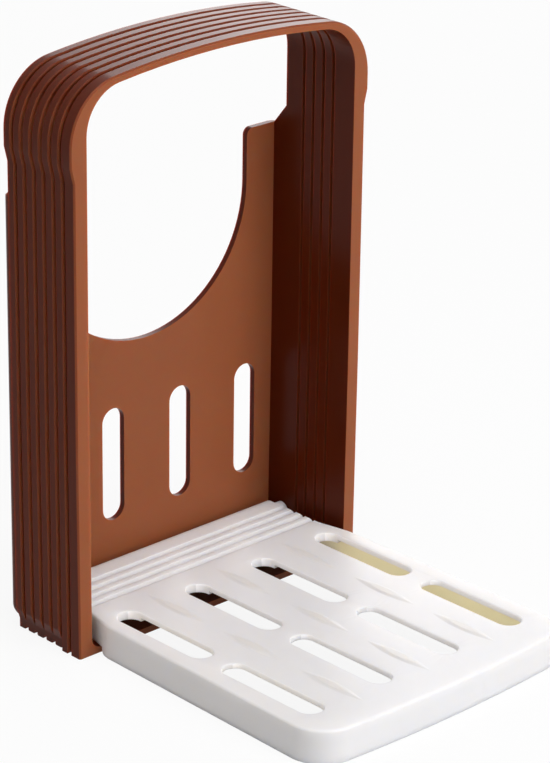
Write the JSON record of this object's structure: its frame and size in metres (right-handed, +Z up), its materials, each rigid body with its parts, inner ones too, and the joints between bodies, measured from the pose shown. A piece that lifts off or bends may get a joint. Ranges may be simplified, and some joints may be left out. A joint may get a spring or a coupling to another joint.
{
  "type": "bread slicer guide",
  "caption": "Folding bread slicing guide: slotted arched frame that holds a loaf for the knife, with a crumb tray that swings up into the frame for storage.",
  "frame": {"origin": "on the table, on the centre line, in the plane of the frame's front face", "axes": "+X across the bread to the right as seen from the tray, +Y from the tray to the back plate, +Z up"},
  "size_m": [0.148, 0.1701, 0.2264],
  "materials": {
    "frame": "glossy, translucent brown",
    "tray": "satin, off-white"
  },
  "bodies": {
    "frame": {"frame": "frame"},
    "tray": {"tray": "tray"}
  },
  "joints": [
    {"name": "tray_fold", "type": "hinge", "parent": "frame", "child": "tray", "pos_m": [0, 0.035, 0.00825], "axis": [-1, 0, 0], "range_deg": [0, 90]}
  ]
}
